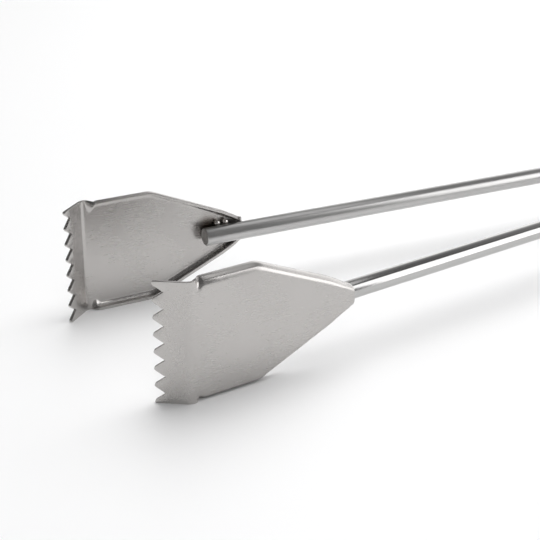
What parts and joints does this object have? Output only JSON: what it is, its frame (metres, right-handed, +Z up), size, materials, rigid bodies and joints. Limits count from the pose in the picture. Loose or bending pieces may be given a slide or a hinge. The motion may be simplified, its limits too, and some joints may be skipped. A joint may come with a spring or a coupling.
{
  "type": "kitchen tongs",
  "caption": "Spring loaded kitchen tongs: two toothed sheet-steel heads on long round bars, channel handles pinned at a sprung hinge, and a wire hanging loop.",
  "frame": {"origin": "middle of the open tongs' outline, on the surface that the two heads stand on", "axes": "+X from the hinge to the teeth, +Y towards the near arm, +Z up along the hinge pin"},
  "size_m": [0.4022, 0.0736, 0.038],
  "materials": {
    "head_sheet": "satin stainless sheet with fine grain",
    "polished_bar": "polished drawn stainless bar",
    "handle_sheet": "satin stainless sheet, brushed along its length",
    "weld_bead": "bright weld metal",
    "hinge_steel": "turned stainless",
    "spring_steel": "drawn spring wire",
    "polished_wire": "polished stainless wire"
  },
  "bodies": {
    "near_arm": {"near_head": "head_sheet", "near_bar": "polished_bar", "near_handle": "handle_sheet", "near_head_upper_front_weld": "weld_bead", "near_head_upper_rear_weld": "weld_bead", "near_head_lower_weld": "weld_bead", "near_handle_upper_front_weld": "weld_bead", "near_handle_lower_front_weld": "weld_bead", "near_handle_upper_rear_weld": "weld_bead", "near_handle_lower_rear_weld": "weld_bead", "hinge_pin": "hinge_steel", "upper_washer": "hinge_steel", "lower_washer": "hinge_steel", "spring_bush": "hinge_steel", "return_spring": "spring_steel"},
    "far_arm": {"far_head": "head_sheet", "far_bar": "polished_bar", "far_handle": "handle_sheet", "far_head_upper_front_weld": "weld_bead", "far_head_upper_rear_weld": "weld_bead", "far_head_lower_weld": "weld_bead", "far_handle_upper_front_weld": "weld_bead", "far_handle_lower_front_weld": "weld_bead", "far_handle_upper_rear_weld": "weld_bead", "far_handle_lower_rear_weld": "weld_bead"},
    "loop": {"hanging_loop": "polished_wire"}
  },
  "joints": [
    {"name": "jaw_hinge", "type": "hinge", "parent": "near_arm", "child": "far_arm", "pos_m": [-0.15802, 0, 0.019], "axis": [0, 0, 1], "range_deg": [0, 9.3], "stiffness_Nm_per_rad": 0.5, "springref_deg": -51.57, "deforming": ["return_spring"]},
    {"name": "loop_swing", "type": "hinge", "parent": "near_arm", "child": "loop", "pos_m": [-0.16982, 0, 0.019], "axis": [0, 0, 1], "range_deg": [-140, 140]}
  ]
}
